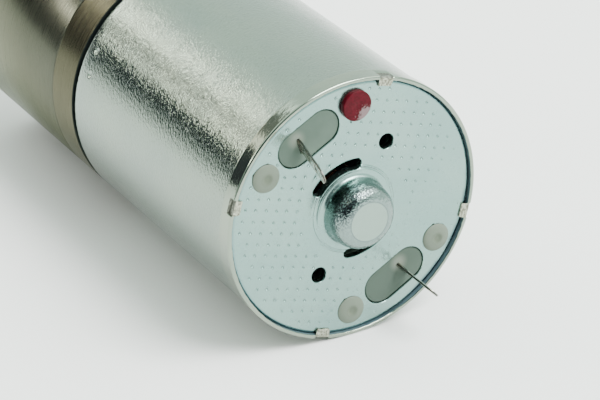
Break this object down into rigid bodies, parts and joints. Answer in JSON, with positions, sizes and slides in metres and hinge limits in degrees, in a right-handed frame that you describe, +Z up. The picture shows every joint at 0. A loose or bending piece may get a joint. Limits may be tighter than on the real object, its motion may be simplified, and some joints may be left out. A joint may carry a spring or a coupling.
{
  "type": "gearmotor",
  "caption": "Round brushed DC motor with a planetary gearbox on the same axis, blade terminals at the rear and a flatted output shaft at the front.",
  "frame": {"origin": "centre of the gearbox's front mounting face, where the output shaft leaves it", "axes": "+Y along the output shaft, away from the motor; +Z up; +X completes a right-handed frame"},
  "size_m": [0.0364, 0.1092, 0.0364],
  "materials": {
    "can": "zinc-plated drawn steel, satin",
    "end_plate": "zinc-plated pressed steel, cool satin",
    "nylon": "natural nylon, slightly see-through",
    "terminal": "tin-plated brass",
    "spring": "phosphor bronze strip",
    "carbon": "copper-graphite",
    "ferrite": "sintered ferrite",
    "steel": "ground steel",
    "gear": "cut steel, oiled",
    "bush": "sintered bronze",
    "screw": "black oxide steel",
    "flange": "turned steel with a yellow tint",
    "housing": "turned steel, grey satin",
    "lamination": "stacked electrical steel",
    "insulator": "pale insulating board",
    "enamel": "enamelled copper wire",
    "copper": "copper",
    "phenolic": "dark phenolic moulding",
    "varistor": "dark ceramic"
  },
  "bodies": {
    "root": {"motor_can": "can", "end_plate": "end_plate", "brush_card": "nylon", "rear_bush": "bush", "front_bush": "bush", "terminal_1": "terminal", "terminal_2": "terminal", "brush_arm_1": "spring", "brush_arm_2": "spring", "carbon_brush_1": "carbon", "carbon_brush_2": "carbon", "magnet_1": "ferrite", "magnet_2": "ferrite", "magnet_spring_1": "steel", "magnet_spring_2": "steel", "motor_screw_1": "screw", "motor_screw_2": "screw", "motor_flange": "flange", "ring_gear": "housing", "front_cover": "housing", "cover_screw_1": "screw", "cover_screw_2": "screw", "cover_screw_3": "screw", "cover_screw_4": "screw", "output_bush_rear": "bush", "output_bush_front": "bush", "thrust_washer": "insulator"},
    "rotor": {"rotor_shaft": "steel", "lamination_stack": "lamination", "end_insulator_rear": "insulator", "end_insulator_front": "insulator", "commutator_hub": "phenolic", "varistor_ring": "varistor", "rotor_washer_rear": "insulator", "rotor_washer_front": "insulator", "sun_gear_1": "gear", "winding_coil_1": "enamel", "winding_coil_2": "enamel", "winding_coil_3": "enamel", "winding_coil_4": "enamel", "winding_coil_5": "enamel", "commutator_bar_1": "copper", "commutator_bar_2": "copper", "commutator_bar_3": "copper", "commutator_bar_4": "copper", "commutator_bar_5": "copper"},
    "first_carrier": {"stage1_carrier": "steel", "sun_gear_2": "gear"},
    "output": {"output_shaft": "steel", "stage2_carrier": "steel", "circlip": "screw"},
    "planet_1_1": {"stage1_planet_1": "gear"},
    "planet_1_2": {"stage1_planet_2": "gear"},
    "planet_1_3": {"stage1_planet_3": "gear"},
    "planet_2_1": {"stage2_planet_1": "gear"},
    "planet_2_2": {"stage2_planet_2": "gear"},
    "planet_2_3": {"stage2_planet_3": "gear"}
  },
  "joints": [
    {"name": "output_turn", "type": "hinge", "parent": "root", "child": "output", "pos_m": [0, 0, 0], "axis": [0, 1, 0], "continuous": true},
    {"name": "first_carrier_turn", "type": "hinge", "parent": "root", "child": "first_carrier", "pos_m": [0, 0, 0], "axis": [0, 1, 0], "continuous": true},
    {"name": "rotor_turn", "type": "hinge", "parent": "root", "child": "rotor", "pos_m": [0, 0, 0], "axis": [0, 1, 0], "continuous": true},
    {"name": "planet_1_1_turn", "type": "hinge", "parent": "first_carrier", "child": "planet_1_1", "pos_m": [0, 0, 0.009], "axis": [0, 1, 0], "continuous": true},
    {"name": "planet_1_2_turn", "type": "hinge", "parent": "first_carrier", "child": "planet_1_2", "pos_m": [-0.00779, 0, -0.0045], "axis": [0, 1, 0], "continuous": true},
    {"name": "planet_1_3_turn", "type": "hinge", "parent": "first_carrier", "child": "planet_1_3", "pos_m": [0.00779, 0, -0.0045], "axis": [0, 1, 0], "continuous": true},
    {"name": "planet_2_1_turn", "type": "hinge", "parent": "output", "child": "planet_2_1", "pos_m": [0, 0, 0.009], "axis": [0, 1, 0], "continuous": true},
    {"name": "planet_2_2_turn", "type": "hinge", "parent": "output", "child": "planet_2_2", "pos_m": [-0.00779, 0, -0.0045], "axis": [0, 1, 0], "continuous": true},
    {"name": "planet_2_3_turn", "type": "hinge", "parent": "output", "child": "planet_2_3", "pos_m": [0.00779, 0, -0.0045], "axis": [0, 1, 0], "continuous": true}
  ],
  "couplings": [
    {"joint": "first_carrier_turn", "follows": "output_turn", "ratio": 4},
    {"joint": "rotor_turn", "follows": "output_turn", "ratio": 16},
    {"joint": "planet_1_1_turn", "follows": "output_turn", "ratio": -12},
    {"joint": "planet_1_2_turn", "follows": "output_turn", "ratio": -12},
    {"joint": "planet_1_3_turn", "follows": "output_turn", "ratio": -12},
    {"joint": "planet_2_1_turn", "follows": "output_turn", "ratio": -3},
    {"joint": "planet_2_2_turn", "follows": "output_turn", "ratio": -3},
    {"joint": "planet_2_3_turn", "follows": "output_turn", "ratio": -3}
  ]
}
